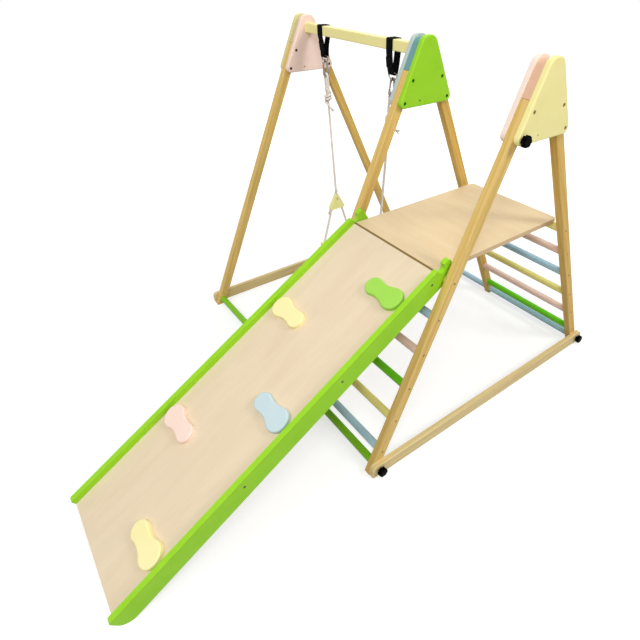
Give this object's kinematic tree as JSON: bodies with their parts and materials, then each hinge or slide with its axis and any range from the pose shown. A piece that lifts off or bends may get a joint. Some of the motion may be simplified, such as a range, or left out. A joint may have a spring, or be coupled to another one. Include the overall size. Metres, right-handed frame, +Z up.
{
  "type": "wooden playset",
  "caption": "Wooden indoor playset: A-frames joined by rungs, with a platform, a climbing ramp with holds hooked on the top rung, and a toddler swing on ropes.",
  "frame": {"origin": "on the floor, under the centre of the whole footprint", "axes": "+Z up, +X along the row of frames from the swing bay to the ladder bay, +Y from the foot of the ramp to the rear feet"},
  "size_m": [1.2472, 1.9052, 1.188],
  "materials": {
    "leg_wood": "clear satin lacquer over pale wood",
    "plywood": "clear matt lacquer over birch plywood",
    "paint_green": "satin lime green paint on wood",
    "paint_yellow": "satin pale yellow paint on wood",
    "paint_pink": "satin pale pink paint on wood",
    "paint_blue": "satin pale blue paint on wood",
    "knob_plastic": "matt black moulded plastic",
    "webbing": "black woven webbing",
    "rope": "cream twisted rope",
    "hook_steel": "bright zinc plated steel",
    "fastener_steel": "dark zinc plated steel"
  },
  "bodies": {
    "frame": {"leg_left_front": "leg_wood", "leg_left_rear": "leg_wood", "leg_middle_front": "leg_wood", "leg_middle_rear": "leg_wood", "leg_right_front": "leg_wood", "leg_right_rear": "leg_wood", "plate_left_a": "paint_yellow", "plate_left_b": "paint_pink", "plate_middle_a": "paint_blue", "plate_middle_b": "paint_green", "plate_right_a": "paint_pink", "plate_right_b": "paint_yellow", "apex_block_left": "paint_yellow", "apex_block_middle": "paint_blue", "apex_block_right": "paint_pink", "rung_front_1": "paint_blue", "rung_front_2": "paint_yellow", "rung_front_3": "paint_green", "rung_front_4": "paint_pink", "rung_front_5": "paint_blue", "rung_front_6": "paint_yellow", "rung_rear_1": "paint_green", "rung_rear_2": "paint_pink", "rung_rear_3": "paint_yellow", "rung_rear_4": "paint_blue", "rung_rear_5": "paint_pink", "rung_rear_6": "paint_yellow", "stretchers_front": "paint_green", "stretchers_rear": "paint_blue", "floor_beam_left": "leg_wood", "floor_beam_right": "leg_wood", "plate_bolts": "fastener_steel", "beam_bolts": "fastener_steel", "rung_screws": "fastener_steel", "swing_bar": "paint_yellow", "strap_loops": "webbing"},
    "platform": {"platform_board": "plywood", "platform_cleats": "leg_wood"},
    "ramp": {"ramp_panel": "plywood", "ramp_rail_left": "paint_green", "ramp_rail_right": "paint_green", "rail_screws": "fastener_steel", "hold_green": "paint_green", "hold_yellow": "paint_yellow", "hold_blue": "paint_blue", "hold_pink": "paint_pink"},
    "swing": {"swing_hooks": "hook_steel", "swing_ropes": "rope", "rope_spreaders": "paint_yellow", "seat_board": "paint_yellow", "seat_frame": "paint_yellow"},
    "safety_bar": {"safety_bar": "paint_yellow"},
    "gate_left": {"hook_gate_left": "hook_steel"},
    "gate_right": {"hook_gate_right": "hook_steel"},
    "knob_plate": {"knob_plate": "knob_plastic"},
    "knob_front": {"knob_front": "knob_plastic"},
    "knob_rear": {"knob_rear": "knob_plastic"}
  },
  "joints": [
    {"name": "swing_hinge", "type": "hinge", "parent": "frame", "child": "swing", "pos_m": [-0.2386, 0.38389, 1.05], "axis": [1, 0, 0], "range_deg": [-35, 35]},
    {"name": "safety_bar_lift", "type": "slide", "parent": "swing", "child": "safety_bar", "axis": [0, 0.2873, 0.9578], "range_m": [0, 0.085]},
    {"name": "gate_left_hinge", "type": "hinge", "parent": "swing", "child": "gate_left", "pos_m": [-0.44682, 0.37426, 1.0027], "axis": [-0.9958, 0, -0.0915], "range_deg": [0, 18], "stiffness_Nm_per_rad": 0.02, "springref_deg": -5.73},
    {"name": "gate_right_hinge", "type": "hinge", "parent": "swing", "child": "gate_right", "pos_m": [-0.03038, 0.37426, 1.0027], "axis": [-0.9958, 0, 0.0915], "range_deg": [0, 18], "stiffness_Nm_per_rad": 0.02, "springref_deg": -5.73},
    {"name": "platform_lift", "type": "slide", "parent": "frame", "child": "platform", "axis": [0, 0, 1], "range_m": [0, 0.08]},
    {"name": "ramp_lift", "type": "slide", "parent": "frame", "child": "ramp", "axis": [0, -0.5114, 0.8593], "range_m": [0, 0.08]},
    {"name": "knob_plate_turn", "type": "hinge", "parent": "frame", "child": "knob_plate", "pos_m": [0.6044, 0.29039, 0.996], "axis": [1, 0, 0], "continuous": true},
    {"name": "knob_front_turn", "type": "hinge", "parent": "frame", "child": "knob_front", "pos_m": [0.6044, -0.15465, 0.025], "axis": [1, 0, 0], "continuous": true},
    {"name": "knob_rear_turn", "type": "hinge", "parent": "frame", "child": "knob_rear", "pos_m": [0.6044, 0.92243, 0.025], "axis": [1, 0, 0], "continuous": true}
  ]
}
